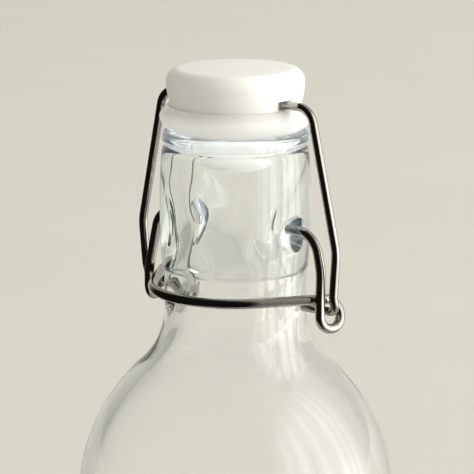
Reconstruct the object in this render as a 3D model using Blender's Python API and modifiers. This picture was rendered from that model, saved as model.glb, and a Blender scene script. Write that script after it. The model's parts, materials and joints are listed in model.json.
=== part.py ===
"""A swing-top growler: clear glass bottle, lever wire, bail wire, plastic stopper and rubber gasket.

Units are metres. The growler stands on z = 0, its axis is z, and the closure swings about axes
along x. The lever's front bar lies towards -y. Heights in the closure are given from the lip's top.
"""
import math

import bmesh
import bpy
from mathutils import Vector

# ---- Driving dimensions -------------------------------------------------------------------
LIP_TOP = 0.2450
BODY_RADIUS = 0.0380
NECK_RADIUS = 0.0170
LIP_RADIUS = 0.01735
BARREL_RADIUS = 0.01795
MOUTH_RADIUS = 0.0117
WALL = 0.0034
SHOULDER_ARC = 0.0450
THROAT_ARC = 0.0190
SHOULDER_DROP = 0.0902
BARREL_FOOT_DROP = 0.0330
FOOT_OUTER = 0.0305
FOOT_INNER = 0.0265
HEEL_ARC = 0.0075
PUNT_RISE = 0.0060
PUNT_SWELL = (0.57, 0.66)
FLOOR_HEIGHT = 0.0105
FLOOR_DISH = 0.0012
FLOOR_EDGE = (0.0260, 0.0060)
INNER_HEEL_ARC = 0.0080
INNER_HEEL_HEIGHT = 0.0150
BORE_FOOT = (0.0131, -0.0370)
BORE_MIDDLE = (0.0120, -0.0240)
BORE_TOP = (MOUTH_RADIUS, -0.0160)
MOUTH_EDGE = 0.0010
LIP_EDGE = 0.0011
LIP_BAND = 0.0025
GROOVE_DEPTH = 0.0004
GROOVE_HEIGHT = 0.0011
BARREL_MIDDLE_DROP = 0.0220
BARREL_FOOT_EDGE = 0.0006
RECESS_RADIUS = 0.0037
RECESS_DROP = 0.0233
RECESS_FLOOR = 0.0150
CUTTER_OVERRUN = 0.0030

LEVER_WIRE_RADIUS = 0.00118
BAIL_WIRE_RADIUS = 0.00105
TOUCH_GAP = 0.00035
PIN_DROP = 0.0219
PIN_END = 0.0156
PIN_CORNER = 0.02395
LEG_BOW = (0.0260, 0.0, -0.0309)
LEG_BENDS = (0.0060, 0.0200, 0.0140)
EYE_LEAD = 0.0035
EYE_DROP = 0.0411
EYE_X = 0.0275
EYE_Y = 0.0022
EYE_RADIUS = 0.0034
EYE_PITCH = 0.0022
EYE_TOE = math.radians(15.0)
EYE_TURN = 1.5 * math.pi
EYE_LEVEL_SHARE = 1 / 3
BAR_RADIUS = 0.0197

HEAD_PIN_RISE = 0.0074
BAIL_CORNER = 0.0226
KNEE = (0.0300, 0.0005, -0.0258)
ANKLE = (0.0291, 0.0007, -0.0366)
STUB_OFFSET = (-0.00035, 0.0007)
ARM_X = 0.0291
STUB_END = 0.0189
ARM_BENDS = (0.0022, 0.0060, 0.0120, 0.0045)

HEAD_RADIUS = 0.01642
HEAD_TOP = 0.0152
WAIST_RADIUS = 0.0154
WAIST_RISE = 0.0062
HEAD_SHOULDER = 0.0034
HEAD_CROWN = 0.0002
HEAD_FLARE = (0.00062, 0.0023)
SEAT_RISE = 0.0046
SEAT_CHAMFER = (0.0004, 0.0005)
SPIGOT_RADIUS = 0.0142
SPIGOT_FOOT = 0.0019
SPIGOT_CHAMFER = 0.0006
CORE_RADIUS = 0.0072
PLUG_RADIUS = 0.0096
PLUG_DEPTH = 0.0089
PLUG_ARC = 0.0034
PLUG_CHAMFER = (0.0003, 0.0004)
FLANGE_DROP = 0.0049

GASKET_RADIUS = 0.01795
COLLAR_WALL = 0.00045
COLLAR_TOP = 0.0060
COLLAR_EASE = (0.00025, 0.0001)
FLANGE_HEIGHT = 0.0034
FLANGE_ARC = 0.0009
FLANGE_TOP = 0.0045
FLANGE_LAND = 0.0002
FLANGE_FOOT = (0.0012, 0.0011)
FLANGE_SOLE = 0.0024
CONE_TOP = (0.0006, -0.0008)
CONE_DROP = 0.0005

ROUND_STEPS = 40
WIRE_SECTION = 2
EYE_STEPS = 14
BAR_STEPS = 9
HOLE_SIDES = 24
AXIS_MERGE = 0.00001
WELD_DISTANCE = 0.000001
SHARP_EDGE = math.radians(50)


# ---- Scene, materials and small geometry helpers ------------------------------------------
def clear_scene():
    """Remove every object and leave two empty collections, one for parts and one for cutters."""
    for obj in list(bpy.data.objects):
        bpy.data.objects.remove(obj, do_unlink=True)
    parts = bpy.data.collections.new("growler")
    cutters = bpy.data.collections.new("growler_cutters")
    for collection in (parts, cutters):
        bpy.context.scene.collection.children.link(collection)
    return parts, cutters


def make_material(name, color, roughness, metallic=0.0, transmission=0.0):
    """A Principled material with the sub-part's own colour and finish."""
    material = bpy.data.materials.new(name)
    material.use_nodes = True
    shader = material.node_tree.nodes["Principled BSDF"]
    shader.inputs["Base Color"].default_value = (*color, 1.0)
    shader.inputs["Roughness"].default_value = roughness
    shader.inputs["Metallic"].default_value = metallic
    shader.inputs["Transmission Weight"].default_value = transmission
    return material


def arc(center, radius, start_deg, end_deg, steps):
    """Points (r, z) along a circular arc, both ends included."""
    angles = [math.radians(start_deg + (end_deg - start_deg) * i / steps) for i in range(steps + 1)]
    return [(center[0] + radius * math.cos(a), center[1] + radius * math.sin(a)) for a in angles]


def arc_through(start, middle, end, steps):
    """Points (r, z) along the circle through three points, both ends included."""
    ax, ay = start
    bx, by = middle
    cx, cy = end
    d = 2 * (ax * (by - cy) + bx * (cy - ay) + cx * (ay - by))
    a2, b2, c2 = ax * ax + ay * ay, bx * bx + by * by, cx * cx + cy * cy
    ux = (a2 * (by - cy) + b2 * (cy - ay) + c2 * (ay - by)) / d
    uy = (a2 * (cx - bx) + b2 * (ax - cx) + c2 * (bx - ax)) / d
    first = math.degrees(math.atan2(ay - uy, ax - ux))
    last = math.degrees(math.atan2(cy - uy, cx - ux))
    if last - first > 180:
        last -= 360
    if first - last > 180:
        last += 360
    return arc((ux, uy), math.hypot(ax - ux, ay - uy), first, last, steps)


def turned(name, profile, collection, material):
    """Solid of revolution: the profile (r, z) starts and ends on the axis, or closes on itself."""
    mesh = bpy.data.meshes.new(name)
    count = len(profile)
    on_axis = profile[0][0] == 0.0 and profile[-1][0] == 0.0
    edges = [(i, i + 1) for i in range(count - 1)]
    if not on_axis:
        edges.append((count - 1, 0))
    mesh.from_pydata([(r, 0.0, z) for r, z in profile], edges, [])
    obj = bpy.data.objects.new(name, mesh)
    collection.objects.link(obj)
    screw = obj.modifiers.new("turn", "SCREW")
    screw.axis = "Z"
    screw.steps = ROUND_STEPS
    screw.render_steps = ROUND_STEPS
    screw.use_merge_vertices = True
    screw.merge_threshold = AXIS_MERGE
    screw.use_smooth_shade = True
    obj.data.materials.append(material)
    return obj


def rounded_path(corners, radii, steps=6):
    """A path through the corners, each inner corner replaced by an arc of its own radius."""
    points = [Vector(corners[0])]
    for before, corner, after, radius in zip(corners, corners[1:], corners[2:], radii):
        corner = Vector(corner)
        back = (Vector(before) - corner).normalized()
        ahead = (Vector(after) - corner).normalized()
        opening = back.angle(ahead)
        reach = radius / math.tan(opening / 2)
        center = corner + (back + ahead).normalized() * radius / math.sin(opening / 2)
        first = corner + back * reach - center
        last = corner + ahead * reach - center
        turn = first.angle(last)
        for i in range(steps + 1):
            share = i / steps
            mixed = first * math.sin((1 - share) * turn) + last * math.sin(share * turn)
            points.append(center + mixed / math.sin(turn))
    points.append(Vector(corners[-1]))
    return points


def mirrored_in_x(points):
    """The same points on the -x side, in reverse order."""
    return [Vector((-p.x, p.y, p.z)) for p in reversed(points)]


def wire(name, points, radius, collection, material, origin):
    """Round wire along the points, as a mesh whose origin lies on its own joint axis."""
    curve = bpy.data.curves.new(name + "_path", "CURVE")
    curve.dimensions = "3D"
    curve.bevel_depth = radius
    curve.bevel_resolution = WIRE_SECTION
    curve.use_fill_caps = True
    spline = curve.splines.new("POLY")
    spline.points.add(len(points) - 1)
    for spot, point in zip(spline.points, points):
        spot.co = (*(point - origin), 1.0)
    guide = bpy.data.objects.new(name + "_path", curve)
    collection.objects.link(guide)
    guide.location = origin
    bpy.context.view_layer.update()
    graph = bpy.context.evaluated_depsgraph_get()
    mesh = bpy.data.meshes.new_from_object(guide.evaluated_get(graph))
    body = bmesh.new()
    body.from_mesh(mesh)
    bmesh.ops.remove_doubles(body, verts=body.verts, dist=WELD_DISTANCE)
    bmesh.ops.recalc_face_normals(body, faces=body.faces)
    body.to_mesh(mesh)
    body.free()
    mesh.name = name
    mesh.shade_smooth()
    mesh.set_sharp_from_angle(angle=SHARP_EDGE)
    obj = bpy.data.objects.new(name, mesh)
    collection.objects.link(obj)
    obj.matrix_world = guide.matrix_world.copy()
    obj.data.materials.clear()
    obj.data.materials.append(material)
    bpy.data.objects.remove(guide, do_unlink=True)
    return obj


def cross_cutter(name, radius, x_from, x_to, z, collection):
    """A cylinder along x, used to cut a hole or a recess."""
    bpy.ops.mesh.primitive_cylinder_add(
        vertices=HOLE_SIDES,
        radius=radius,
        depth=x_to - x_from,
        location=((x_from + x_to) / 2, 0.0, z),
        rotation=(0.0, math.pi / 2, 0.0),
    )
    cutter = bpy.context.active_object
    cutter.name = name
    for owner in list(cutter.users_collection):
        owner.objects.unlink(cutter)
    collection.objects.link(cutter)
    cutter.hide_render = True
    cutter.display_type = "WIRE"
    return cutter


def cut(obj, cutter):
    """Take the cutter's shape out of the object."""
    boolean = obj.modifiers.new(cutter.name, "BOOLEAN")
    boolean.operation = "DIFFERENCE"
    boolean.object = cutter


# ---- Glass bottle -------------------------------------------------------------------------
def shoulder_arcs(offset):
    """Throat and shoulder curves (r, z) from the neck down to the body, inset by an offset."""
    throat = (NECK_RADIUS + THROAT_ARC, 0.0)
    shoulder = (BODY_RADIUS - SHOULDER_ARC, LIP_TOP - SHOULDER_DROP)
    lean = math.acos((throat[0] - shoulder[0]) / (SHOULDER_ARC + THROAT_ARC))
    throat_z = shoulder[1] + (SHOULDER_ARC + THROAT_ARC) * math.sin(lean)
    lean_deg = math.degrees(lean)
    upper = arc((throat[0], throat_z), THROAT_ARC + offset, 180, 180 + lean_deg, 6)
    lower = arc(shoulder, SHOULDER_ARC - offset, lean_deg, 0, 9)
    return upper + lower[1:]


def bottle_inside():
    """Cavity outline from the middle of its floor up to the mouth."""
    dish = (FLOOR_EDGE[0] / 2, FLOOR_HEIGHT - FLOOR_DISH)
    floor = arc_through((0.0, FLOOR_HEIGHT), dish, FLOOR_EDGE, 4)
    heel_center = (BODY_RADIUS - WALL - INNER_HEEL_ARC, INNER_HEEL_HEIGHT)
    heel = arc(heel_center, INNER_HEEL_ARC, -75, 0, 4)
    shoulder = list(reversed(shoulder_arcs(WALL)))
    foot, middle, top = ((r, LIP_TOP + z) for r, z in (BORE_FOOT, BORE_MIDDLE, BORE_TOP))
    bore = arc_through(foot, middle, top, 3)
    mouth_edge = arc((MOUTH_RADIUS + MOUTH_EDGE, LIP_TOP - MOUTH_EDGE), MOUTH_EDGE, 180, 90, 3)
    return floor + heel + shoulder + bore + mouth_edge


def bottle_outside():
    """Outer outline from the lip down to the middle of the underside."""
    lip_edge = arc((LIP_RADIUS - LIP_EDGE, LIP_TOP - LIP_EDGE), LIP_EDGE, 90, 0, 3)
    groove_radius = LIP_RADIUS - GROOVE_DEPTH
    groove_top = LIP_TOP - LIP_BAND
    groove = [
        (LIP_RADIUS, groove_top),
        (groove_radius, groove_top - GROOVE_HEIGHT / 2),
        (groove_radius, groove_top - GROOVE_HEIGHT),
    ]
    barrel_foot = LIP_TOP - BARREL_FOOT_DROP
    barrel = arc_through(
        (groove_radius + GROOVE_DEPTH / 2, groove_top - GROOVE_HEIGHT * 1.5),
        (BARREL_RADIUS, LIP_TOP - BARREL_MIDDLE_DROP),
        (LIP_RADIUS, barrel_foot + BARREL_FOOT_EDGE),
        8,
    )
    step = [(NECK_RADIUS, barrel_foot)]
    heel = arc((FOOT_OUTER, HEEL_ARC), HEEL_ARC, 0, -90, 5)
    swell = (FOOT_INNER * PUNT_SWELL[0], PUNT_RISE * PUNT_SWELL[1])
    punt = arc_through((FOOT_INNER, 0.0), swell, (0.0, PUNT_RISE), 5)
    return lip_edge + groove + barrel + step + shoulder_arcs(0.0) + heel + punt


def build_bottle(collection, cutters, material):
    """Blown glass in one piece, with a lug recess for the lever on each side of its barrel."""
    bottle = turned("glass_bottle", bottle_inside() + bottle_outside(), collection, material)
    for side, label in ((1, "right"), (-1, "left")):
        ends = sorted((side * RECESS_FLOOR, side * (BARREL_RADIUS + CUTTER_OVERRUN)))
        cutter = cross_cutter(
            "recess_" + label, RECESS_RADIUS, ends[0], ends[1], LIP_TOP - RECESS_DROP, cutters
        )
        cut(bottle, cutter)
    return bottle


# ---- Lever wire ---------------------------------------------------------------------------
def eye_point(along, angle):
    """A point of the +x eye: the angle runs from its front, under the eye, round to its top."""
    flat = -EYE_RADIUS * math.cos(angle)
    rise = -EYE_RADIUS * math.sin(angle)
    x = along + flat * math.sin(EYE_TOE)
    return Vector((x, EYE_Y + flat * math.cos(EYE_TOE), LIP_TOP - EYE_DROP + rise))


def lever_half():
    """Lever path on the +x side, from the pin in the glass to the middle of the front bar."""
    pin_z = LIP_TOP - PIN_DROP
    eye_start = eye_point(EYE_X, 0.0)
    corners = [
        (PIN_END, 0.0, pin_z),
        (PIN_CORNER, 0.0, pin_z),
        (LEG_BOW[0], LEG_BOW[1], LIP_TOP + LEG_BOW[2]),
        (eye_start.x, eye_start.y, eye_start.z + EYE_LEAD),
        tuple(eye_start),
    ]
    path = rounded_path(corners, LEG_BENDS)[:-1]
    for i in range(EYE_STEPS + 1):
        share = i / EYE_STEPS
        inward = EYE_PITCH * max(0.0, share - EYE_LEVEL_SHARE) / (1 - EYE_LEVEL_SHARE)
        path.append(eye_point(EYE_X - inward, share * EYE_TURN))
    bar_z = LIP_TOP - EYE_DROP + EYE_RADIUS
    start_x = EYE_X - EYE_PITCH
    reach = math.hypot(start_x, EYE_Y)
    first = math.acos(BAR_RADIUS / reach) - math.atan2(EYE_Y, start_x)
    for i in range(BAR_STEPS + 1):
        angle = first + (math.pi / 2 - first) * i / BAR_STEPS
        path.append(Vector((BAR_RADIUS * math.cos(angle), -BAR_RADIUS * math.sin(angle), bar_z)))
    return path


def build_lever(collection, material):
    """One wire: a pin in each lug recess, a leg and an eye on each side, and the front bar."""
    half = lever_half()
    path = half + mirrored_in_x(half)[1:]
    pivot = Vector((0.0, 0.0, LIP_TOP - PIN_DROP))
    return wire("lever_wire", path, LEVER_WIRE_RADIUS, collection, material, pivot)


# ---- Bail wire ----------------------------------------------------------------------------
def stub_axis():
    """Height and depth (y, z) of the line about which the bail's ends turn in the eyes."""
    return EYE_Y + STUB_OFFSET[0], LIP_TOP - EYE_DROP + STUB_OFFSET[1]


def bail_half():
    """Bail path on the +x side, from its end inside the eye to the middle of the stopper."""
    stub_y, stub_z = stub_axis()
    head_z = LIP_TOP + HEAD_PIN_RISE
    corners = [
        (STUB_END, stub_y, stub_z),
        (ARM_X, stub_y, stub_z),
        (ANKLE[0], ANKLE[1], LIP_TOP + ANKLE[2]),
        (KNEE[0], KNEE[1], LIP_TOP + KNEE[2]),
        (BAIL_CORNER, 0.0, head_z),
        (0.0, 0.0, head_z),
    ]
    return rounded_path(corners, ARM_BENDS)


def build_bail(collection, material):
    """One wire: an end in each eye, an arm on each side, and the straight across the stopper."""
    stub_y, stub_z = stub_axis()
    half = bail_half()
    path = half + mirrored_in_x(half)[1:]
    pivot = Vector((0.0, stub_y, stub_z))
    return wire("bail_wire", path, BAIL_WIRE_RADIUS, collection, material, pivot)


# ---- Stopper and gasket -------------------------------------------------------------------
def build_stopper(collection, cutters, material):
    """Round head, spigot and plug moulded in one, with a cross hole for the bail wire."""
    shoulder_center = (HEAD_RADIUS - HEAD_SHOULDER, HEAD_TOP - HEAD_SHOULDER - HEAD_CROWN)
    head = arc(shoulder_center, HEAD_SHOULDER, 84, -6, 7)
    profile = [(0.0, HEAD_TOP)] + head
    profile += [
        (WAIST_RADIUS + HEAD_FLARE[0], WAIST_RISE + HEAD_FLARE[1]),
        (WAIST_RADIUS, WAIST_RISE),
        (WAIST_RADIUS - SEAT_CHAMFER[0], SEAT_RISE + SEAT_CHAMFER[1]),
        (SPIGOT_RADIUS, SEAT_RISE),
        (SPIGOT_RADIUS, SPIGOT_FOOT + SPIGOT_CHAMFER),
        (SPIGOT_RADIUS - SPIGOT_CHAMFER, SPIGOT_FOOT),
        (CORE_RADIUS, SPIGOT_FOOT),
        (CORE_RADIUS, -FLANGE_DROP),
        (PLUG_RADIUS - PLUG_CHAMFER[0], -FLANGE_DROP),
        (PLUG_RADIUS, -FLANGE_DROP - PLUG_CHAMFER[1]),
    ]
    profile += arc((PLUG_RADIUS - PLUG_ARC, -PLUG_DEPTH + PLUG_ARC), PLUG_ARC, 0, -80, 5)
    profile.append((0.0, -PLUG_DEPTH))
    raised = [(r, LIP_TOP + z) for r, z in profile]
    stopper = turned("stopper", raised, collection, material)
    half_length = HEAD_RADIUS + CUTTER_OVERRUN
    hole = cross_cutter(
        "bail_hole",
        BAIL_WIRE_RADIUS + TOUCH_GAP,
        -half_length,
        half_length,
        LIP_TOP + HEAD_PIN_RISE,
        cutters,
    )
    cut(stopper, hole)
    return stopper


def build_gasket(collection, material):
    """Rubber cup round the spigot: a collar, a flared rim on the lip and a cone in the mouth."""
    cup_floor = SPIGOT_FOOT - TOUCH_GAP
    cone_foot = -FLANGE_DROP + TOUCH_GAP
    collar = WAIST_RADIUS + TOUCH_GAP
    profile = [
        (CORE_RADIUS + TOUCH_GAP, cup_floor),
        (SPIGOT_RADIUS + TOUCH_GAP, cup_floor),
        (SPIGOT_RADIUS + TOUCH_GAP, SEAT_RISE - TOUCH_GAP),
        (collar - COLLAR_EASE[0], SEAT_RISE + SEAT_CHAMFER[1] - COLLAR_EASE[1]),
        (collar, COLLAR_TOP - COLLAR_EASE[1]),
        (collar + COLLAR_WALL, COLLAR_TOP),
        (GASKET_RADIUS - FLANGE_ARC + FLANGE_LAND, FLANGE_TOP),
    ]
    profile += arc((GASKET_RADIUS - FLANGE_ARC, FLANGE_HEIGHT), FLANGE_ARC, 25, -50, 3)
    profile += [
        (GASKET_RADIUS - FLANGE_FOOT[0], FLANGE_FOOT[1]),
        (GASKET_RADIUS - FLANGE_SOLE, TOUCH_GAP),
        (MOUTH_RADIUS + CONE_TOP[0], TOUCH_GAP),
        (MOUTH_RADIUS + CONE_TOP[1], -CONE_DROP),
        (PLUG_RADIUS + PLUG_CHAMFER[0], cone_foot),
        (CORE_RADIUS + TOUCH_GAP, cone_foot),
    ]
    raised = [(r, LIP_TOP + z) for r, z in profile]
    return turned("gasket", raised, collection, material)


def main():
    parts, cutters = clear_scene()
    glass = make_material("clear_glass", (0.86, 0.89, 0.85), 0.03, transmission=1.0)
    steel = make_material("polished_steel", (0.60, 0.59, 0.57), 0.12, metallic=1.0)
    plastic = make_material("white_plastic", (0.88, 0.87, 0.84), 0.38)
    rubber = make_material("pale_rubber", (0.80, 0.80, 0.76), 0.45)
    build_bottle(parts, cutters, glass)
    build_lever(parts, steel)
    build_bail(parts, steel)
    build_stopper(parts, cutters, plastic)
    build_gasket(parts, rubber)


main()
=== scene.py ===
"""Looks of a swing-top growler: blown glass, lever and bail wires, moulded stopper and gasket."""
import json
import math
from functools import partial

import bmesh
import bpy
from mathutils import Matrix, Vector


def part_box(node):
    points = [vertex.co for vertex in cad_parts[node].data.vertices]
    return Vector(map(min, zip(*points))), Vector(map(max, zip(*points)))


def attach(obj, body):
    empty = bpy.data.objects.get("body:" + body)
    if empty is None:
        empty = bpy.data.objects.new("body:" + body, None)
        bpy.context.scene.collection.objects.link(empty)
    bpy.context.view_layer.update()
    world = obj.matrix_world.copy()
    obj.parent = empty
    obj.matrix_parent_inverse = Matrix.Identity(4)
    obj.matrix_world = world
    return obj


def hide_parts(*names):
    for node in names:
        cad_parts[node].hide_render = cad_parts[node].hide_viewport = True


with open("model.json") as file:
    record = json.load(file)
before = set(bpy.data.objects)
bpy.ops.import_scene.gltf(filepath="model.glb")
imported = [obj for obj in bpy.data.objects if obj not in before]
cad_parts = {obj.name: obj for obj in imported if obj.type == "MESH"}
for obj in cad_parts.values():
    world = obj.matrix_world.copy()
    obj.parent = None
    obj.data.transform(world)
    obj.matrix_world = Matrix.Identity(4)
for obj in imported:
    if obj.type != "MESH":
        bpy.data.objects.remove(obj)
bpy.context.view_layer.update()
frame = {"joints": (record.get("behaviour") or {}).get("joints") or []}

# ---- Sizes, in metres: the main ones come from the frame ------------------------------------
JOINTS = {joint["name"]: joint for joint in frame["joints"]}
GLASS_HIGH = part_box("glass_bottle")[1]
GASKET_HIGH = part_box("gasket")[1]
HEAD_LOW, HEAD_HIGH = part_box("stopper")
LIP_TOP = GLASS_HIGH.z
BODY_RADIUS = GLASS_HIGH.x
NECK_RADIUS = 0.0170
LIP_RADIUS = 0.01735
BARREL_RADIUS = 0.01795
MOUTH_RADIUS = 0.0117
MOUTH_EDGE = 0.0010
WALL = 0.0034
SHOULDER_ARC = 0.0450
THROAT_ARC = 0.0190
SHOULDER_DROP = 0.0902
BARREL_FOOT_DROP = 0.0330
FOOT_OUTER = 0.0305
FOOT_INNER = 0.0265
HEEL_ARC = 0.0075
PUNT_RISE = 0.0060
FLOOR_HEIGHT = 0.0105

PIN_Z = JOINTS["lever_swing"]["pos_m"][2]
RECESS_Z = PIN_Z - 0.0014
RECESS_FLOOR = 0.0150
RECESS_FLAT = 0.0018
RECESS_RIM = 0.0050
RECESS_REACH = (0.5, 0.006)  # radians round the axis, metres up and down
BORE_BULGE = 0.0017
BULGE_SPREAD = (0.80, 0.0080)  # radians round the axis, metres up and down
BORE_WAVE = 0.00032
WAVE_START, WAVE_RISE = 0.006, 0.008  # drop below the lip, and the length that it fades in over
WAVE_END, WAVE_FALL = 0.040, 0.030
BORE_FOOT_DROP = 0.075

END_ROUNDING = ((0.0, 0.55), (0.3, 0.80), (0.65, 0.94), (1.0, 1.0))  # way back, share of radius
LEVER_WIRE_RADIUS = 0.00118
BAIL_WIRE_RADIUS = 0.00105
PIN_END = 0.0156
PIN_CORNER = 0.02395
LEG_BOW = (0.0260, 0.0, LIP_TOP - 0.0309)
LEG_BENDS = (0.0060, 0.0200, 0.0140)
STUB_Y, STUB_Z = JOINTS["bail_swing"]["pos_m"][1:]
EYE_Z = STUB_Z - 0.0007
EYE_Y = STUB_Y + 0.00035
EYE_X = 0.0275
EYE_RADIUS = 0.0034
EYE_PITCH = 0.0022
EYE_SWEEP = 1.5 * math.pi
EYE_LEVEL_SHARE = 1 / 3  # the part of the turn that stays level before the wire moves inwards
EYE_TOE = math.radians(15.0)
BAR_RADIUS = 0.0197
HEAD_PIN_Z = JOINTS["stopper_swing"]["pos_m"][2]
BAIL_CORNER = 0.0226
KNEE = (0.0300, 0.0005, LIP_TOP - 0.0258)
ARM_X = 0.0291
ANKLE = (ARM_X, 0.0007, LIP_TOP - 0.0366)
STUB_END = 0.0189
ARM_BENDS = (0.0022, 0.0060, 0.0120, 0.0045)

HEAD_RADIUS = HEAD_HIGH.x
HEAD_TOP = HEAD_HIGH.z - LIP_TOP
WAIST_RADIUS = 0.0154
WAIST_RISE = 0.0062
SEAT_RISE = 0.0046
SPIGOT_RADIUS = 0.0142
SPIGOT_FOOT = 0.0019
CORE_RADIUS = 0.0072
FLANGE_DROP = 0.0049
PLUG_RADIUS = 0.0096
PLUG_ARC = 0.0034
PLUG_DEPTH = LIP_TOP - HEAD_LOW.z
GASKET_RADIUS = GASKET_HIGH.x
HOLE_SIDES = 40
NOTCH_X = 0.0142
NOTCH_FRONT = 0.0085
CLOSE_GAP = 0.00003

# ---- Painted light, an emission that glass, plastic and rubber give off: how strong, and where it fades ---
LIP_GLOW = 0.075
LIP_GLOW_HEIGHTS = (LIP_TOP - 0.0056, LIP_TOP - 0.0040)
LIP_EDGE_GLOW = 0.13
LIP_EDGE_HEIGHTS = (LIP_TOP - 0.0018, LIP_TOP - 0.0006)
RECESS_GLOW = 0.28
RECESS_FROM_AXIS = (0.0135, 0.0142)  # keeps the recess glow off the bore
GLASS_GLOW = 0.003
PLUG_GLOW = (0.20, 0.56)  # painted light on the plug, away from the window and towards the window
PLUG_GLOW_HEIGHTS = (LIP_TOP + 0.001, LIP_TOP - 0.002)
RUBBER_GLOW = 0.12
RUBBER_GLOW_HEIGHTS = (LIP_TOP + 0.0055, LIP_TOP + 0.0025)

# ---- Camera -------------------------------------------------------------------------------
CAMERA_AZIMUTH = math.radians(40.0)
CAMERA_ELEVATION = math.radians(12.2)
CAMERA_DISTANCE = 0.650
CAMERA_LENS = 207.3
CAMERA_SHIFT = 0.0034
CAMERA_AIM = Vector((0.0, 0.0, LIP_TOP - 0.026))


def direction(azimuth, elevation):
    """Unit vector from the growler towards a compass place: azimuth 0 is -y and 90 is +x."""
    flat = math.cos(elevation)
    return Vector((math.sin(azimuth) * flat, -math.cos(azimuth) * flat, math.sin(elevation)))


def make_camera():
    camera = bpy.data.objects.new("camera", bpy.data.cameras.new("camera"))
    bpy.context.scene.collection.objects.link(camera)
    back = direction(CAMERA_AZIMUTH, CAMERA_ELEVATION)
    camera.location = CAMERA_AIM + back * CAMERA_DISTANCE
    camera.rotation_euler = back.to_track_quat("Z", "Y").to_euler()
    camera.data.lens = CAMERA_LENS
    camera.data.sensor_width = 36.0
    camera.data.shift_x = CAMERA_SHIFT
    camera.data.clip_start = 0.01
    bpy.context.scene.camera = camera


# ---- Mesh helpers -------------------------------------------------------------------------
def arc(center, radius, start_deg, end_deg, steps):
    """Points (r, z) along a circular arc, both ends included."""
    angles = [math.radians(start_deg + (end_deg - start_deg) * i / steps) for i in range(steps + 1)]
    return [(center[0] + radius * math.cos(a), center[1] + radius * math.sin(a)) for a in angles]


def arc_through(start, middle, end, steps):
    """Points (r, z) along the circle through three points, both ends included."""
    (ax, ay), (bx, by), (cx, cy) = start, middle, end
    d = 2 * (ax * (by - cy) + bx * (cy - ay) + cx * (ay - by))
    a2, b2, c2 = ax * ax + ay * ay, bx * bx + by * by, cx * cx + cy * cy
    ux = (a2 * (by - cy) + b2 * (cy - ay) + c2 * (ay - by)) / d
    uy = (a2 * (cx - bx) + b2 * (ax - cx) + c2 * (bx - ax)) / d
    first = math.degrees(math.atan2(ay - uy, ax - ux))
    last = math.degrees(math.atan2(cy - uy, cx - ux))
    last += -360 if last - first > 180 else 360 if first - last > 180 else 0
    return arc((ux, uy), math.hypot(ax - ux, ay - uy), first, last, steps)


def smooth_line(points, spacing):
    """Catmull-Rom curve through the points (r, z), sampled about every spacing."""
    padded = [points[0]] + list(points) + [points[-1]]
    line = []
    for p0, p1, p2, p3 in zip(padded, padded[1:], padded[2:], padded[3:]):
        count = max(1, math.ceil(math.dist(p1, p2) / spacing))
        for i in range(count):
            t = i / count
            line.append(tuple(
                0.5 * (2 * b + (c - a) * t + (2 * a - 5 * b + 4 * c - d) * t * t
                       + (3 * b - a - 3 * c + d) * t ** 3)
                for a, b, c, d in zip(p0, p1, p2, p3)
            ))
    return line + [points[-1]]


def finish_mesh(name, mesh, material, body, nodes):
    """Make the mesh a smooth piece that rides on its body and stands for its nodes."""
    obj = bpy.data.objects.new(name, mesh)
    bpy.context.scene.collection.objects.link(obj)
    mesh.shade_smooth()
    mesh.materials.append(material)
    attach(obj, body)
    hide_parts(*nodes)
    return obj


def closed_mesh(name, points, faces):
    """Mesh of these points and faces, with the faces turned outwards."""
    mesh = bpy.data.meshes.new(name)
    mesh.from_pydata(points, [], faces)
    body = bmesh.new()
    body.from_mesh(mesh)
    bmesh.ops.recalc_face_normals(body, faces=body.faces)
    body.to_mesh(mesh)
    body.free()
    return mesh


def lathe(name, outline, angles, shift=None):
    """Closed mesh turned about z: the outline (r, z) closes on itself or ends on the axis."""
    points, faces, rings = [], [], []
    for index, (r, z) in enumerate(outline):
        if r < 1e-7:
            rings.append([len(points)] * len(angles))
            points.append((0.0, 0.0, z))
            continue
        ring = []
        for angle in angles:
            ring.append(len(points))
            radius = r + (shift(index, r, z, angle) if shift else 0.0)
            points.append((radius * math.cos(angle), radius * math.sin(angle), z))
        rings.append(ring)
    pairs = list(zip(rings, rings[1:]))
    if outline[0][0] > 1e-7:
        pairs.append((rings[-1], rings[0]))
    for upper, lower in pairs:
        for i in range(len(angles)):
            j = (i + 1) % len(angles)
            face = []
            for corner in (upper[i], lower[i], lower[j], upper[j]):
                if corner not in face:
                    face.append(corner)
            faces.append(face)
    return closed_mesh(name, points, faces)


def even_angles(count=160):
    """Angles round the axis in equal steps."""
    return [2 * math.pi * i / count for i in range(count)]


def sweep(name, points, radius, sides=28):
    """Round wire along the points, with rounded ends, turned by a frame that doesn't twist."""
    points = [Vector(p) for p in points]
    tangents = []
    for i, point in enumerate(points):
        before, after = points[max(i - 1, 0)], points[min(i + 1, len(points) - 1)]
        tangents.append((after - before).normalized())
    side = tangents[0].orthogonal().normalized()
    rounding = 0.35 * radius
    sections = []
    for back, shrink in END_ROUNDING:
        sections.append((points[0] + tangents[0] * back * rounding, tangents[0], radius * shrink))
    for point, tangent in zip(points[1:-1], tangents[1:-1]):
        sections.append((point, tangent, radius))
    for back, shrink in reversed(END_ROUNDING):
        sections.append((points[-1] - tangents[-1] * back * rounding, tangents[-1], radius * shrink))
    body = bmesh.new()
    rings = []
    for center, tangent, reach in sections:
        side = (side - tangent * side.dot(tangent)).normalized()
        other = tangent.cross(side)
        ring = []
        for k in range(sides):
            turn = 2 * math.pi * k / sides
            ring.append(body.verts.new(center + (side * math.cos(turn) + other * math.sin(turn)) * reach))
        rings.append(ring)
    for first, second in zip(rings, rings[1:]):
        for k in range(sides):
            j = (k + 1) % sides
            body.faces.new((first[k], first[j], second[j], second[k]))
    body.faces.new(list(reversed(rings[0])))
    body.faces.new(rings[-1])
    bmesh.ops.recalc_face_normals(body, faces=body.faces)
    mesh = bpy.data.meshes.new(name)
    body.to_mesh(mesh)
    body.free()
    return mesh


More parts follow.
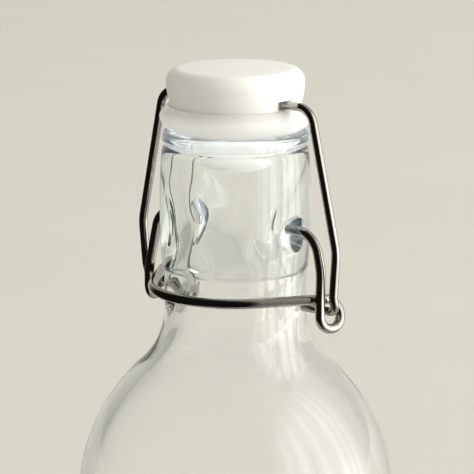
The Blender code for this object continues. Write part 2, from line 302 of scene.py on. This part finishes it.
def rounded_path(corners, radii, steps=14):
    """A path through the corners, each inner corner replaced by an arc of its own radius."""
    points = [Vector(corners[0])]
    for before, corner, after, radius in zip(corners, corners[1:], corners[2:], radii):
        corner = Vector(corner)
        back = (Vector(before) - corner).normalized()
        ahead = (Vector(after) - corner).normalized()
        opening = back.angle(ahead)
        reach = radius / math.tan(opening / 2)
        center = corner + (back + ahead).normalized() * radius / math.sin(opening / 2)
        first = corner + back * reach - center
        last = corner + ahead * reach - center
        turn = first.angle(last)
        for i in range(steps + 1):
            share = i / steps
            mixed = first * math.sin((1 - share) * turn) + last * math.sin(share * turn)
            points.append(center + mixed / math.sin(turn))
    points.append(Vector(corners[-1]))
    return points


def spaced(points, spacing):
    """The same path with points at most spacing apart."""
    dense = [points[0]]
    for first, second in zip(points, points[1:]):
        count = max(1, math.ceil((second - first).length / spacing))
        dense += [first.lerp(second, (i + 1) / count) for i in range(count)]
    return dense


def mirrored_in_x(points):
    return [Vector((-p.x, p.y, p.z)) for p in reversed(points)]


# ---- Material helpers ---------------------------------------------------------------------
def math_node(tree, operation, *values):
    """A maths node on numbers or sockets."""
    node = tree.nodes.new("ShaderNodeMath")
    node.operation = operation
    for value, socket in zip(values, node.inputs):
        if isinstance(value, float):
            socket.default_value = value
        else:
            tree.links.new(value, socket)
    return node.outputs["Value"]


def soft_step(tree, value, start, end, height=1.0):
    """0 before the start and the height past the end, eased between them."""
    fade = tree.nodes.new("ShaderNodeMapRange")
    fade.interpolation_type = "SMOOTHSTEP"
    fade.inputs["From Min"].default_value = min(start, end)
    fade.inputs["From Max"].default_value = max(start, end)
    fade.inputs["To Min"].default_value = 0.0 if start < end else height
    fade.inputs["To Max"].default_value = height if start < end else 0.0
    tree.links.new(value, fade.inputs["Value"])
    return fade.outputs["Result"]


class Nodes:
    """A new node material with a few shorthands."""

    def __init__(self, name):
        self.material = bpy.data.materials.new(name)
        self.material.use_nodes = True
        self.tree = self.material.node_tree
        self.shader = self.tree.nodes["Principled BSDF"]
        self.output = self.tree.nodes["Material Output"]
        self.place = self.tree.nodes.new("ShaderNodeTexCoord").outputs["Object"]

    def link(self, source, target):
        self.tree.links.new(source, target)

    def noise(self, scale, detail=2.0, stretch=(1.0, 1.0, 1.0)):
        """Noise in object space, scale in waves a metre, stretched along the axes."""
        mapping = self.tree.nodes.new("ShaderNodeMapping")
        mapping.inputs["Scale"].default_value = stretch
        self.link(self.place, mapping.inputs["Vector"])
        noise = self.tree.nodes.new("ShaderNodeTexNoise")
        noise.inputs["Scale"].default_value = scale
        noise.inputs["Detail"].default_value = detail
        self.link(mapping.outputs["Vector"], noise.inputs["Vector"])
        return noise.outputs["Fac"]

    def ramp(self, value, low, high):
        """The value 0 to 1 as a colour or a number between low and high."""
        if isinstance(low, tuple):
            mix = self.tree.nodes.new("ShaderNodeMix")
            mix.data_type = "RGBA"
            mix.inputs["A"].default_value = (*low, 1.0)
            mix.inputs["B"].default_value = (*high, 1.0)
            self.link(value, mix.inputs["Factor"])
            return mix.outputs["Result"]
        remap = self.tree.nodes.new("ShaderNodeMapRange")
        remap.inputs["To Min"].default_value = low
        remap.inputs["To Max"].default_value = high
        self.link(value, remap.inputs["Value"])
        return remap.outputs["Result"]

    def number(self, operation, *values):
        return math_node(self.tree, operation, *values)

    def step(self, value, start, end, height):
        return soft_step(self.tree, value, start, end, height)

    def length(self, first, second):
        """Length of the flat vector with these two parts."""
        squares = [self.number("MULTIPLY", part, part) for part in (first, second)]
        return self.number("SQRT", self.number("ADD", *squares))

    def glow(self, color, strength):
        """Painted light: an emission of this colour, standing in for light the material carries inside;
        the strength is a socket.
        """
        self.shader.inputs["Emission Color"].default_value = (*color, 1.0)
        self.link(strength, self.shader.inputs["Emission Strength"])

    def place_axes(self):
        """Sockets of x, y and z in the piece, whose origin is the growler's."""
        split = self.tree.nodes.new("ShaderNodeSeparateXYZ")
        self.link(self.place, split.inputs["Vector"])
        return [split.outputs[axis] for axis in "XYZ"]

    def painted_glow_in_thick_glass(self, color):
        """Painted light: an emission on the lip, its edge, the lug recesses and faintly on all the glass,
        standing in for light piped round inside the thick glass.
        """
        x, y, z = self.place_axes()
        lip = self.step(z, *LIP_GLOW_HEIGHTS, LIP_GLOW)
        edge = self.step(z, *LIP_EDGE_HEIGHTS, LIP_EDGE_GLOW)
        beside = self.number("SUBTRACT", z, RECESS_Z)
        near = self.step(self.length(y, beside), RECESS_RIM, RECESS_FLAT, RECESS_GLOW)
        outer = self.step(self.number("ABSOLUTE", x, 0.0), *RECESS_FROM_AXIS, 1.0)
        both = self.number("ADD", self.number("ADD", lip, edge), self.number("MULTIPLY", near, outer))
        self.glow(color, self.number("ADD", both, GLASS_GLOW))

    def bump(self, height, depth, strength):
        """A bump of the given depth in metres."""
        bump = self.tree.nodes.new("ShaderNodeBump")
        bump.inputs["Strength"].default_value = strength
        bump.inputs["Distance"].default_value = depth
        self.link(height, bump.inputs["Height"])
        return bump.outputs["Normal"]


def clear_glass():
    """Soda-lime glass: a slow waviness from blowing, and a green-blue tint where it is thick."""
    m = Nodes("clear_glass")
    m.shader.inputs["Transmission Weight"].default_value = 1.0
    m.shader.inputs["IOR"].default_value = 1.52
    tint = m.ramp(m.noise(140.0), (0.990, 0.987, 0.981), (1.0, 0.997, 0.993))
    m.link(tint, m.shader.inputs["Base Color"])
    m.link(m.ramp(m.noise(60.0, 4.0), 0.0, 0.010), m.shader.inputs["Roughness"])
    m.link(m.bump(m.noise(70.0, 1.0, (1.0, 1.0, 0.35)), 0.0002, 0.25), m.shader.inputs["Normal"])
    # painted light: a pale blue-green emission in the thick glass of the lip and recesses
    m.painted_glow_in_thick_glass((0.80, 0.92, 0.97))
    volume = m.tree.nodes.new("ShaderNodeVolumeAbsorption")
    volume.inputs["Color"].default_value = (0.55, 0.80, 0.82, 1.0)
    volume.inputs["Density"].default_value = 9.0
    m.link(volume.outputs["Volume"], m.output.inputs["Volume"])
    return m.material


def polished_wire(name, stretch):
    """Drawn stainless wire: bright, with faint drawing lines along its run."""
    m = Nodes(name)
    m.shader.inputs["Metallic"].default_value = 1.0
    fine = m.noise(900.0, 3.0, stretch)
    slow = m.noise(120.0, 2.0)
    m.link(m.ramp(slow, (0.36, 0.345, 0.32), (0.46, 0.44, 0.41)), m.shader.inputs["Base Color"])
    m.link(m.ramp(fine, 0.06, 0.16), m.shader.inputs["Roughness"])
    m.link(m.bump(fine, 0.00001, 0.3), m.shader.inputs["Normal"])
    return m.material


def white_plastic():
    """Moulded warm white plastic that lets a little light into its surface, with painted light on the
    plug below the lip: an emission, stronger on the window side.
    """
    m = Nodes("white_plastic")
    m.shader.inputs["Subsurface Weight"].default_value = 0.35
    m.shader.inputs["Subsurface Radius"].default_value = (1.0, 0.9, 0.8)
    m.shader.inputs["Subsurface Scale"].default_value = 0.003
    m.shader.inputs["Coat Weight"].default_value = 0.10
    m.shader.inputs["Coat Roughness"].default_value = 0.25
    white = m.ramp(m.noise(90.0, 3.0), (0.86, 0.845, 0.82), (0.90, 0.885, 0.865))
    m.link(white, m.shader.inputs["Base Color"])
    m.link(m.ramp(m.noise(400.0, 3.0), 0.36, 0.50), m.shader.inputs["Roughness"])
    m.link(m.bump(m.noise(2600.0, 2.0), 0.00002, 0.35), m.shader.inputs["Normal"])
    # painted light: below the lip the plastic glows, more on the side towards the window, as if lit
    # through the glass
    x, y, z = m.place_axes()
    toward = direction(WINDOW_AZIMUTH, 0.0)
    sideways = m.number("ADD", m.number("MULTIPLY", x, toward.x), m.number("MULTIPLY", y, toward.y))
    painted_window_side = m.step(sideways, -0.012, 0.012, PLUG_GLOW[1] - PLUG_GLOW[0])
    strength = m.number("ADD", painted_window_side, PLUG_GLOW[0])
    below = m.step(z, *PLUG_GLOW_HEIGHTS, 1.0)
    m.glow((1.0, 0.985, 0.94), m.number("MULTIPLY", below, strength))
    return m.material


def pale_rubber():
    """Milky silicone rubber that lets light into and through its thin rim, with painted light: an
    emission on its lower part, where it sits in shade.
    """
    m = Nodes("pale_rubber")
    m.shader.inputs["Subsurface Weight"].default_value = 0.6
    m.shader.inputs["Subsurface Radius"].default_value = (1.0, 0.97, 0.92)
    m.shader.inputs["Subsurface Scale"].default_value = 0.003
    m.shader.inputs["Transmission Weight"].default_value = 0.45
    m.shader.inputs["IOR"].default_value = 1.41
    milky = m.ramp(m.noise(150.0, 3.0), (0.91, 0.91, 0.885), (0.95, 0.95, 0.93))
    m.link(milky, m.shader.inputs["Base Color"])
    m.link(m.ramp(m.noise(500.0, 3.0), 0.16, 0.28), m.shader.inputs["Roughness"])
    m.link(m.bump(m.noise(1800.0, 2.0), 0.00002, 0.3), m.shader.inputs["Normal"])
    # painted light: the rubber glows below a height just above the lip
    height = m.place_axes()[2]
    m.glow((1.0, 0.985, 0.95), m.step(height, *RUBBER_GLOW_HEIGHTS, RUBBER_GLOW))
    return m.material


# ---- Blown glass --------------------------------------------------------------------------
def shoulder_arcs(offset):
    """Throat and shoulder curves (r, z) from the neck down to the body, inset by an offset."""
    throat_r = NECK_RADIUS + THROAT_ARC
    shoulder = (BODY_RADIUS - SHOULDER_ARC, LIP_TOP - SHOULDER_DROP)
    lean = math.acos((throat_r - shoulder[0]) / (SHOULDER_ARC + THROAT_ARC))
    throat_z = shoulder[1] + (SHOULDER_ARC + THROAT_ARC) * math.sin(lean)
    lean_deg = math.degrees(lean)
    upper = arc((throat_r, throat_z), THROAT_ARC + offset, 180, 180 + lean_deg, 22)
    lower = arc(shoulder, SHOULDER_ARC - offset, lean_deg, 0, 34)
    return upper + lower[1:]


def glass_inside():
    """Cavity outline from the middle of its floor up to the rounded mouth."""
    inner_body = BODY_RADIUS - WALL
    floor = arc_through((0.0, FLOOR_HEIGHT), (0.013, FLOOR_HEIGHT - 0.0012), (0.026, 0.0060), 16)
    heel = arc((inner_body - 0.0080, 0.0150), 0.0080, -75, 0, 12)
    wall = smooth_line([heel[-1], (inner_body, LIP_TOP - SHOULDER_DROP)], 0.008)[1:-1]
    shoulder = list(reversed(shoulder_arcs(WALL)))
    bore = smooth_line([
        shoulder[-1],
        (0.0131, LIP_TOP - 0.0370),
        (0.0125, LIP_TOP - 0.0300),
        (0.0119, LIP_TOP - 0.0230),
        (MOUTH_RADIUS, LIP_TOP - 0.0160),
        (MOUTH_RADIUS, LIP_TOP - MOUTH_EDGE),
    ], 0.0006)[1:-1]
    mouth_edge = arc((MOUTH_RADIUS + MOUTH_EDGE, LIP_TOP - MOUTH_EDGE), MOUTH_EDGE, 180, 90, 8)
    return floor + heel + wall + shoulder + bore + mouth_edge


def glass_outside():
    """Outer outline from the lip down to the middle of the underside."""
    lip_edge = arc((LIP_RADIUS - 0.0011, LIP_TOP - 0.0011), 0.0011, 90, 0, 8)
    groove = smooth_line([
        (LIP_RADIUS, LIP_TOP - 0.0020),
        (LIP_RADIUS - 0.0001, LIP_TOP - 0.0026),
        (LIP_RADIUS - 0.0006, LIP_TOP - 0.0033),
        (LIP_RADIUS - 0.0001, LIP_TOP - 0.0041),
        (LIP_RADIUS + 0.0001, LIP_TOP - 0.0050),
    ], 0.0002)
    barrel_end = (LIP_RADIUS + 0.0001, LIP_TOP - BARREL_FOOT_DROP + 0.0006)
    barrel = arc_through(groove[-1], (BARREL_RADIUS, LIP_TOP - 0.0220), barrel_end, 100)[1:]
    neck_top = (NECK_RADIUS, LIP_TOP - BARREL_FOOT_DROP)
    step = smooth_line([
        barrel_end,
        (LIP_RADIUS - 0.0001, LIP_TOP - BARREL_FOOT_DROP + 0.0002),
        neck_top,
        (NECK_RADIUS, neck_top[1] - 0.0010),
    ], 0.0002)[1:]
    shoulder = shoulder_arcs(0.0)
    neck = smooth_line([step[-1], shoulder[0]], 0.002)[1:-1]
    heel = arc((FOOT_OUTER, HEEL_ARC), HEEL_ARC, 0, -90, 14)
    wall = smooth_line([shoulder[-1], heel[0]], 0.008)[1:-1]
    punt = arc_through((FOOT_INNER, 0.0), (0.0150, PUNT_RISE * 0.66), (0.0, PUNT_RISE), 20)
    return lip_edge + groove + barrel + step + neck + shoulder + wall + heel + punt


def eased(value):
    """Smooth step from 0 to 1."""
    value = min(max(value, 0.0), 1.0)
    return value * value * (3 - 2 * value)


def side_angle(angle):
    """Angle from the nearer of the +x and -x directions."""
    turn = math.atan2(math.sin(angle), math.cos(angle))
    return min(abs(turn), math.pi - abs(turn))


def glass_angles():
    """Angles round the axis, close together at the two lug recesses."""
    dense_steps, wide_steps = 50, 60
    dense, wide = math.radians(15.0), math.pi - math.radians(15.0)
    half = [dense * (2 * i / dense_steps - 1) for i in range(dense_steps)]
    half += [dense + (wide - dense) * i / wide_steps for i in range(wide_steps)]
    return half + [angle + math.pi for angle in half]


def bore_wave(z, angle):
    """Unevenness of the bore, as blowing leaves it: none at the mouth and none in the body."""
    drop = LIP_TOP - z
    share = eased((drop - WAVE_START) / WAVE_RISE) * (1.0 - eased((drop - WAVE_END) / WAVE_FALL))
    slow = math.sin(2 * angle + 0.9 + 60.0 * drop) + 0.6 * math.sin(3 * angle - 1.7 - 150.0 * drop)
    fine = 0.35 * math.sin(5 * angle + 2.2 + 330.0 * drop) + 0.25 * math.sin(7 * angle + 520.0 * drop)
    return BORE_WAVE * share * (slow + fine)


def build_glass(material):
    inside, outside = glass_inside(), glass_outside()
    inner_count = len(inside)

    def shift(index, r, z, angle):
        """Lug recesses pressed into the outside, and the bulge each leaves in the bore."""
        away = side_angle(angle)
        if index < inner_count:
            if z < LIP_TOP - BORE_FOOT_DROP:
                return 0.0
            aside, above = away / BULGE_SPREAD[0], (z - RECESS_Z) / BULGE_SPREAD[1]
            return bore_wave(z, angle) - BORE_BULGE * math.exp(-aside ** 2 - above ** 2)
        if away > RECESS_REACH[0] or abs(z - RECESS_Z) > RECESS_REACH[1]:
            return 0.0
        reach = math.hypot(r * away, z - RECESS_Z)
        depth = 1.0 - eased((reach - RECESS_FLAT) / (RECESS_RIM - RECESS_FLAT))
        floor = RECESS_FLOOR / max(math.cos(away), 0.5)
        return (floor - r) * depth

    mesh = lathe("blown_glass", inside + outside, glass_angles(), shift)
    return finish_mesh("blown_glass", mesh, material, "bottle", ["glass_bottle"])


# ---- Wires --------------------------------------------------------------------------------
def eye_point(along, angle):
    """A point of the +x eye: the angle runs from its front, under the eye, round to its top."""
    flat = -EYE_RADIUS * math.cos(angle)
    rise = -EYE_RADIUS * math.sin(angle)
    return Vector((along + flat * math.sin(EYE_TOE), EYE_Y + flat * math.cos(EYE_TOE), EYE_Z + rise))


def lever_half():
    """Lever path on the +x side, from the pin in the glass to the middle of the front bar."""
    eye_start = eye_point(EYE_X, 0.0)
    leg_low = (eye_start.x, eye_start.y, eye_start.z + 0.0035)
    corners = [(PIN_END, 0.0, PIN_Z), (PIN_CORNER, 0.0, PIN_Z), LEG_BOW, leg_low, tuple(eye_start)]
    path = rounded_path(corners, LEG_BENDS)[:-1]
    turns = 36
    for i in range(turns + 1):
        share = i / turns
        inward = EYE_PITCH * eased((share - EYE_LEVEL_SHARE) / (1.0 - EYE_LEVEL_SHARE))
        path.append(eye_point(EYE_X - inward, share * EYE_SWEEP))
    bar_z = EYE_Z + EYE_RADIUS
    start_x = EYE_X - EYE_PITCH
    reach = math.hypot(start_x, EYE_Y)
    first = math.acos(BAR_RADIUS / reach) - math.atan2(EYE_Y, start_x)
    bends = 30
    for i in range(bends + 1):
        angle = first + (math.pi / 2 - first) * i / bends
        path.append(Vector((BAR_RADIUS * math.cos(angle), -BAR_RADIUS * math.sin(angle), bar_z)))
    return path


def build_lever(material):
    half = lever_half()
    path = spaced(half + mirrored_in_x(half)[1:], 0.0007)
    mesh = sweep("lever_bent_wire", path, LEVER_WIRE_RADIUS)
    return finish_mesh("lever_bent_wire", mesh, material, "lever", ["lever_wire"])


def build_bail(material):
    corners = [
        (STUB_END, STUB_Y, STUB_Z),
        (ARM_X, STUB_Y, STUB_Z),
        ANKLE,
        KNEE,
        (BAIL_CORNER, 0.0, HEAD_PIN_Z),
        (0.0, 0.0, HEAD_PIN_Z),
    ]
    half = rounded_path(corners, ARM_BENDS)
    path = spaced(half + mirrored_in_x(half)[1:], 0.0008)
    mesh = sweep("bail_bent_wire", path, BAIL_WIRE_RADIUS)
    return finish_mesh("bail_bent_wire", mesh, material, "bail", ["bail_wire"])


# ---- Stopper and gasket -------------------------------------------------------------------
def build_stopper(material):
    """Turned head and plug, with a cross hole and two notches for the bail."""
    crown = arc_through((0.0, HEAD_TOP), (0.006, HEAD_TOP - 0.00008), (0.0125, HEAD_TOP - 0.0004), 10)
    edge = arc((HEAD_RADIUS - 0.0034, HEAD_TOP - 0.0037), 0.0034, 80, -6, 18)
    side = smooth_line([
        edge[-1],
        (WAIST_RADIUS + 0.00062, WAIST_RISE + 0.0023),
        (WAIST_RADIUS, WAIST_RISE),
        (WAIST_RADIUS - 0.0003, SEAT_RISE + 0.0006),
    ], 0.0005)[1:]
    spigot = [
        (SPIGOT_RADIUS, SEAT_RISE),
        (SPIGOT_RADIUS, SPIGOT_FOOT + 0.0006),
        (SPIGOT_RADIUS - 0.0006, SPIGOT_FOOT),
        (CORE_RADIUS, SPIGOT_FOOT),
        (CORE_RADIUS, -FLANGE_DROP),
    ]
    plug = [(PLUG_RADIUS - 0.0003, -FLANGE_DROP), (PLUG_RADIUS, -FLANGE_DROP - 0.0004)]
    plug += arc((PLUG_RADIUS - PLUG_ARC, -PLUG_DEPTH + PLUG_ARC), PLUG_ARC, 0, -80, 12)
    outline = crown + edge[1:] + side + spigot + plug + [(0.004, -PLUG_DEPTH), (0.0, -PLUG_DEPTH)]
    placed = [(r, LIP_TOP + z) for r, z in outline]
    mesh = lathe("moulded_stopper", placed, even_angles())
    obj = finish_mesh("moulded_stopper", mesh, material, "stopper_set", ["stopper"])
    drill = BAIL_WIRE_RADIUS + CLOSE_GAP
    half_length = HEAD_RADIUS + 0.002
    profile = [(0.0, half_length), (drill, half_length), (drill, -half_length), (0.0, -half_length)]
    cutter = bpy.data.objects.new("bail_hole", lathe("bail_hole", profile, even_angles(HOLE_SIDES)))
    bpy.context.scene.collection.objects.link(cutter)
    cutter.rotation_euler = (0.0, math.pi / 2, 0.0)
    cutter.location = (0.0, 0.0, HEAD_PIN_Z)
    apply_cut(obj, cutter)
    for side in (1, -1):
        apply_cut(obj, notch_cutter(side))
    return obj


def notch_cutter(side):
    """A wedge a little higher than the wire, open outwards and to the front, beside the cross hole."""
    half = BAIL_WIRE_RADIUS + 3 * CLOSE_GAP
    outside = HEAD_RADIUS + 0.001
    corners = [(NOTCH_X, half), (outside, half), (outside, -NOTCH_FRONT), (NOTCH_X, -half)]
    points = [(side * x, y, HEAD_PIN_Z + z) for z in (-half, half) for x, y in corners]
    faces = [(0, 1, 2, 3), (7, 6, 5, 4)]
    faces += [(i, i + 4, (i + 1) % 4 + 4, (i + 1) % 4) for i in range(4)]
    cutter = bpy.data.objects.new("notch", closed_mesh("notch", points, faces))
    bpy.context.scene.collection.objects.link(cutter)
    return cutter


def apply_cut(obj, cutter):
    """Take the cutter out of the object for good, and remove the cutter."""
    boolean = obj.modifiers.new("cut", "BOOLEAN")
    boolean.operation = "DIFFERENCE"
    boolean.solver = "EXACT"
    boolean.object = cutter
    bpy.context.view_layer.update()
    graph = bpy.context.evaluated_depsgraph_get()
    done = bpy.data.meshes.new_from_object(obj.evaluated_get(graph))
    obj.modifiers.clear()
    done.name = obj.data.name
    obj.data = done
    done.shade_smooth()
    done.set_sharp_from_angle(angle=math.radians(40))
    bpy.data.objects.remove(cutter, do_unlink=True)


def build_gasket(material):
    """Soft ring under the head: a flared rim that sits on the lip and a cone inside the mouth."""
    outer = smooth_line([
        (WAIST_RADIUS - 0.0004, SEAT_RISE + 0.0004),
        (WAIST_RADIUS + 0.0002, WAIST_RISE - 0.0003),
        (WAIST_RADIUS + 0.0008, WAIST_RISE - 0.0002),
        (GASKET_RADIUS - 0.0006, 0.0046),
        (GASKET_RADIUS, 0.0034),
        (GASKET_RADIUS - 0.0006, 0.0018),
        (GASKET_RADIUS - 0.0018, 0.0006),
        (GASKET_RADIUS - 0.0030, CLOSE_GAP),
    ], 0.0003)
    seat = arc((MOUTH_RADIUS + MOUTH_EDGE, -MOUTH_EDGE), MOUTH_EDGE + CLOSE_GAP, 90, 160, 6)
    cone = smooth_line([
        seat[-1],
        (MOUTH_RADIUS - 0.0012, -0.0026),
        (PLUG_RADIUS + 0.0004, -0.0045),
    ], 0.0004)[1:]
    cup_floor = SPIGOT_FOOT - CLOSE_GAP
    cone_foot = -FLANGE_DROP + CLOSE_GAP
    back = [
        (PLUG_RADIUS + 0.0001, cone_foot),
        (CORE_RADIUS + CLOSE_GAP, cone_foot),
        (CORE_RADIUS + CLOSE_GAP, cup_floor),
        (SPIGOT_RADIUS + CLOSE_GAP, cup_floor),
        (SPIGOT_RADIUS + CLOSE_GAP, SEAT_RISE - CLOSE_GAP),
    ]
    outline = [(r, LIP_TOP + z) for r, z in outer + seat + cone + back]
    mesh = lathe("moulded_gasket", outline, even_angles())
    obj = finish_mesh("moulded_gasket", mesh, material, "stopper_set", ["gasket"])
    obj.data.set_sharp_from_angle(angle=math.radians(50))
    return obj


# ---- Floor, world and lights ---------------------------------------------------------------
FLOOR_RADIUS = 6.0
FLOOR_GAP = 0.0002
FLOOR_DARK = (0.688, 0.676, 0.622)
FLOOR_PALE = (0.716, 0.704, 0.648)
HORIZON = (0.694, 0.665, 0.591, 1.0)
AMBIENT = (0.57, 0.555, 0.515, 1.0)
AMBIENT_THROUGH = (1.00, 0.98, 0.93, 1.0)
ROOM_PALE = (0.62, 0.60, 0.54, 1.0)
ROOM_DARK = (0.012, 0.011, 0.010, 1.0)
THROUGH_DARK = (0.42, 0.42, 0.36, 1.0)
WINDOW_GLOW = (3.1, 3.07, 3.0, 1.0)
WINDOW_AZIMUTH = math.radians(122.0)
WINDOW_SIDES = ((-1.30, -0.40), (0.85, 0.35))
WINDOW_HEIGHTS = ((-0.75, -0.20), (1.80, 0.60))
WINDOW_BARS = 19.0
BAR_SHADE = 0.70
HIGH_SHARE = 0.62
LOW_EDGE = (0.30, -0.05)
DARK_AZIMUTH = CAMERA_AZIMUTH - math.radians(57.0)
# painted light on the floor seen through glass, and a stronger painted pool of light under the bottle
THROUGH_PAINTED_LIGHT = 0.045
UNDER_PAINTED_LIGHT = 0.26
UNDER_EDGE = (BODY_RADIUS + 0.004, BODY_RADIUS - 0.006)


def make_floor():
    """Pale floor with painted light: an emission where it is seen through glass, stronger under the
    bottle, standing in for light that the glass's shadow blocks.
    """
    mesh = bpy.data.meshes.new("floor")
    body = bmesh.new()
    bmesh.ops.create_circle(body, cap_ends=True, radius=FLOOR_RADIUS, segments=96)
    body.to_mesh(mesh)
    body.free()
    floor = bpy.data.objects.new("floor", mesh)
    bpy.context.scene.collection.objects.link(floor)
    floor.location.z = -FLOOR_GAP
    m = Nodes("pale_floor")
    m.shader.inputs["Specular IOR Level"].default_value = 0.0
    m.link(m.ramp(m.noise(9.0, 4.0), FLOOR_DARK, FLOOR_PALE), m.shader.inputs["Base Color"])
    m.link(m.ramp(m.noise(30.0), 0.85, 0.95), m.shader.inputs["Roughness"])
    m.shader.inputs["Emission Color"].default_value = (1.0, 0.98, 0.92, 1.0)
    x, y, _ = m.place_axes()
    # painted pool of light under the bottle, shown only to rays that come through glass
    painted_pool = m.step(m.length(x, y), *UNDER_EDGE, UNDER_PAINTED_LIGHT)
    through = m.tree.nodes.new("ShaderNodeLightPath").outputs["Is Transmission Ray"]
    painted_light = m.number("MULTIPLY", m.number("ADD", painted_pool, THROUGH_PAINTED_LIGHT), through)
    m.link(painted_light, m.shader.inputs["Emission Strength"])
    floor.data.materials.append(m.material)
    floor.visible_glossy = False


def make_world():
    """Pale surroundings with a soft window on the right, but dark in front on the left."""
    world = bpy.data.worlds.new("room")
    bpy.context.scene.world = world
    world.use_nodes = True
    tree = world.node_tree
    background = tree.nodes["Background"]
    toward = tree.nodes.new("ShaderNodeTexCoord").outputs["Generated"]
    number, step = partial(math_node, tree), partial(soft_step, tree)

    def along(axis):
        """How far the direction points along an axis."""
        dot = tree.nodes.new("ShaderNodeVectorMath")
        dot.operation = "DOT_PRODUCT"
        dot.inputs[1].default_value = axis
        tree.links.new(toward, dot.inputs[0])
        return dot.outputs["Value"]

    def mixed(factor, first, second, blend="MIX"):
        """The first colour where the factor is 0, and the second mixed in or added where it is 1."""
        mix = tree.nodes.new("ShaderNodeMix")
        mix.data_type = "RGBA"
        mix.blend_type = blend
        mix.clamp_result = False
        tree.links.new(factor, mix.inputs["Factor"])
        for value, socket in ((first, mix.inputs["A"]), (second, mix.inputs["B"])):
            if isinstance(value, tuple):
                socket.default_value = value
            else:
                tree.links.new(value, socket)
        return mix.outputs["Result"]

    facing = along(direction(WINDOW_AZIMUTH, 0.0))
    across = number("DIVIDE", along(direction(WINDOW_AZIMUTH + math.pi / 2, 0.0)), facing)
    upward = number("DIVIDE", along((0.0, 0.0, 1.0)), facing)
    window = number("GREATER_THAN", facing, 0.05)
    for value, edges in ((across, WINDOW_SIDES), (upward, WINDOW_HEIGHTS)):
        for start, end in edges:
            window = number("MULTIPLY", window, step(value, start, end))
    bars = step(number("SINE", number("MULTIPLY", across, WINDOW_BARS), 0.0), 0.1, 0.9)
    window = number("MULTIPLY", window, number("SUBTRACT", 1.0, number("MULTIPLY", bars, BAR_SHADE)))
    low = number("MULTIPLY", step(upward, *LOW_EDGE), 1.0 - HIGH_SHARE)
    window = number("MULTIPLY", window, number("ADD", low, HIGH_SHARE))

    path = tree.nodes.new("ShaderNodeLightPath")
    through = path.outputs["Is Transmission Ray"]
    spread = number("GREATER_THAN", path.outputs["Diffuse Depth"], 0.5)
    dark_side = direction(DARK_AZIMUTH, 0.0)
    pale = step(along(dark_side), 0.25, -0.35)
    direct = mixed(pale, mixed(through, ROOM_DARK, THROUGH_DARK), ROOM_PALE)
    direct = mixed(window, direct, WINDOW_GLOW, "ADD")
    inside = mixed(window, AMBIENT_THROUGH, WINDOW_GLOW, "ADD")
    seen = mixed(spread, direct, mixed(through, AMBIENT, inside))
    seen = mixed(path.outputs["Is Camera Ray"], seen, HORIZON)
    tree.links.new(seen, background.inputs["Color"])
    background.inputs["Strength"].default_value = 1.0


def make_window_light():
    """A soft rectangular light that faces the closure from the window's side."""
    light = bpy.data.lights.new("window_right", "AREA")
    light.shape = "RECTANGLE"
    light.size = 6.4
    light.size_y = 6.0
    light.energy = 860.0
    light.color = (1.0, 0.99, 0.97)
    lamp = bpy.data.objects.new("window_right", light)
    bpy.context.scene.collection.objects.link(lamp)
    toward = direction(math.radians(124.0), math.radians(9.0))
    lamp.location = CAMERA_AIM + toward * 6.0
    lamp.rotation_euler = toward.to_track_quat("Z", "Y").to_euler()
    lamp.visible_camera = False
    lamp.visible_glossy = False
    lamp.visible_transmission = False


# ---- Everything ---------------------------------------------------------------------------
def main():
    bpy.context.scene.view_settings.view_transform = "Standard"
    make_camera()
    make_floor()
    make_world()
    make_window_light()
    build_glass(clear_glass())
    build_lever(polished_wire("polished_lever_steel", (1.0, 1.0, 1.0)))
    build_bail(polished_wire("polished_bail_steel", (1.0, 1.0, 0.12)))
    build_stopper(white_plastic())
    build_gasket(pale_rubber())


main()
